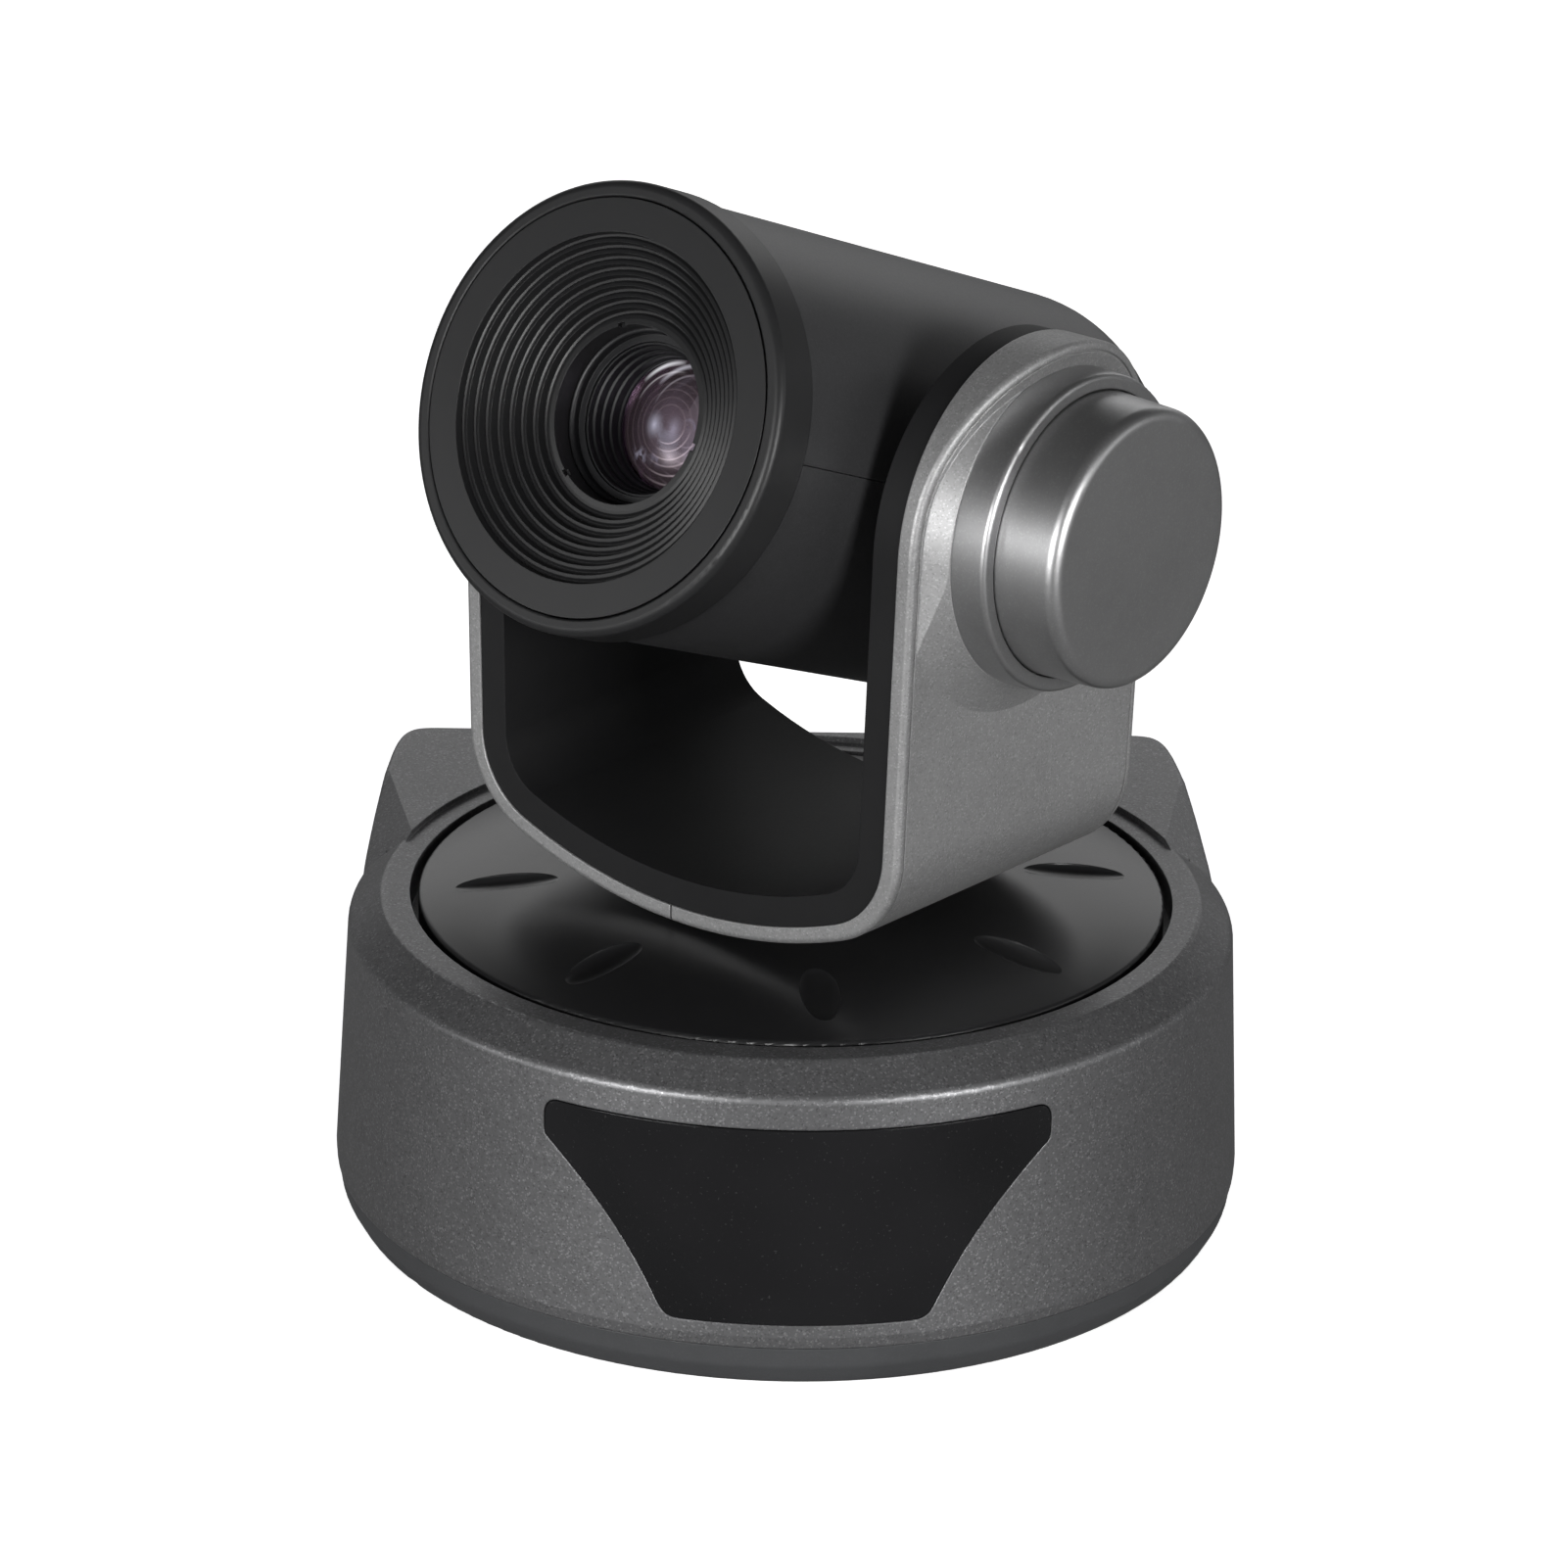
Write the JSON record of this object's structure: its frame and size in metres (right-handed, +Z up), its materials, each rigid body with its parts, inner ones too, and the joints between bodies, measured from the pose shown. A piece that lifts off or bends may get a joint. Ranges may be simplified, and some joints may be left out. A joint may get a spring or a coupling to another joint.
{
  "type": "ptz camera",
  "caption": "Desktop pan-tilt-zoom camera: round base with turntable, U-shaped yoke and a tilting cylindrical head with a ridged lens opening.",
  "frame": {"origin": "centre of the tripod thread in the plane the rubber feet rest on, which is on the turntable axis", "axes": "+Z up along the turntable axis, -Y towards the front window, +X to the right seen from the front"},
  "size_m": [0.128, 0.1245, 0.1568],
  "materials": {
    "shell_grey": "satin metallic paint with a fine sparkle",
    "yoke_grey": "satin metallic paint, lighter than the base",
    "cover_grey": "fine-textured moulded plastic",
    "window_black": "polished smoke-black plastic",
    "disc_black": "fine satin moulded plastic",
    "liner_black": "fine matt moulded plastic",
    "head_grey": "satin dark grey moulded plastic",
    "bezel_black": "satin black moulded plastic",
    "barrel_black": "black anodised",
    "optical_glass": "polished and coated",
    "rubber": "matt",
    "steel": "plain machined steel",
    "alloy": "as die cast",
    "brass": "turned brass",
    "gear_plastic": "natural acetal",
    "motor_steel": "plated steel can",
    "board_green": "solder-resist coated laminate",
    "connector_black": "moulded plastic",
    "connector_steel": "plated shell",
    "dark_resin": "infrared-passing resin",
    "lamp_blue": "clear resin lamp",
    "cable": "flat flexible cable"
  },
  "bodies": {
    "base": {"base_shell": "shell_grey", "bottom_cover": "cover_grey", "front_window": "window_black", "rear_panel": "connector_black", "rubber_feet": "rubber", "base_screws": "steel", "tripod_insert": "brass", "main_board": "board_green", "usb_port": "connector_steel", "dc_power_jack": "connector_black", "control_ports": "connector_black", "ir_receiver": "dark_resin", "status_led": "lamp_blue", "pan_chassis": "alloy", "chassis_screws": "steel", "pan_motor": "motor_steel", "pan_bearing_outer": "steel", "pan_bearing_balls": "steel", "pan_home_sensor": "connector_black"},
    "pan_pinion_body": {"pan_pinion": "brass"},
    "turntable": {"pan_disc": "disc_black", "pan_spindle": "alloy", "spindle_clip": "steel", "pan_gear": "gear_plastic", "pan_bearing_inner": "steel", "yoke_frame": "alloy", "yoke_cover_left": "yoke_grey", "yoke_cover_right": "yoke_grey", "yoke_liner": "liner_black", "yoke_screws": "steel", "tilt_bushes": "brass", "head_ribbon_cable": "cable", "hub_collar": "yoke_grey", "hub_cap": "yoke_grey", "tilt_motor_bracket": "alloy", "tilt_motor": "motor_steel"},
    "tilt_pinion_body": {"tilt_pinion": "brass"},
    "head": {"head_shell_upper": "head_grey", "head_shell_lower": "head_grey", "head_screws": "steel", "front_bezel": "bezel_black", "lens_surround": "bezel_black", "lens_barrel": "barrel_black", "front_lens": "optical_glass", "lens_retaining_ring": "barrel_black", "guide_rods": "steel", "head_chassis": "alloy", "trunnion_right": "steel", "trunnion_left": "steel", "tilt_gear": "brass", "image_sensor_board": "board_green", "image_sensor": "dark_resin", "zoom_motor": "motor_steel", "focus_motor": "motor_steel"},
    "zoom_group": {"zoom_carrier": "gear_plastic", "zoom_lens": "optical_glass"},
    "zoom_screw_body": {"zoom_screw": "steel"},
    "focus_group": {"focus_carrier": "gear_plastic", "focus_lens": "optical_glass"},
    "focus_screw_body": {"focus_screw": "steel"}
  },
  "joints": [
    {"name": "pan", "type": "hinge", "parent": "base", "child": "turntable", "pos_m": [0, 0, 0.045], "axis": [0, 0, 1], "range_deg": [-134.3, 215.7]},
    {"name": "pan_pinion_spin", "type": "hinge", "parent": "base", "child": "pan_pinion_body", "pos_m": [0, -0.0288, 0.037], "axis": [0, 0, 1], "range_deg": [-1080.5, 673.5]},
    {"name": "tilt", "type": "hinge", "parent": "turntable", "child": "head", "pos_m": [0, 0, 0.1122], "axis": [-0.7581, 0.6521, 0], "range_deg": [-56.6, 13.4]},
    {"name": "tilt_pinion_spin", "type": "hinge", "parent": "turntable", "child": "tilt_pinion_body", "pos_m": [0.02987, -0.02569, 0.1037], "axis": [-0.7581, 0.6521, 0], "range_deg": [-33.16, 136.84]},
    {"name": "zoom_screw_spin", "type": "hinge", "parent": "head", "child": "zoom_screw_body", "pos_m": [-0.00925, 0.00796, 0.1122], "axis": [-0.6063, -0.7049, 0.3681], "range_deg": [-1085, 1265]},
    {"name": "zoom_slide", "type": "slide", "parent": "head", "child": "zoom_group", "axis": [-0.6063, -0.7049, 0.3681], "range_m": [-0.006, 0.007]},
    {"name": "focus_screw_spin", "type": "hinge", "parent": "head", "child": "focus_screw_body", "pos_m": [0.00925, -0.00796, 0.1122], "axis": [-0.6063, -0.7049, 0.3681], "range_deg": [-725, 545]},
    {"name": "focus_slide", "type": "slide", "parent": "head", "child": "focus_group", "axis": [-0.6063, -0.7049, 0.3681], "range_m": [-0.004, 0.003]}
  ],
  "couplings": [
    {"joint": "pan_pinion_spin", "follows": "pan", "ratio": -5},
    {"joint": "tilt_pinion_spin", "follows": "tilt", "ratio": -2.4},
    {"joint": "zoom_screw_spin", "follows": "zoom_slide", "rad_per_m": 3141.6},
    {"joint": "focus_screw_spin", "follows": "focus_slide", "rad_per_m": 3141.6}
  ]
}
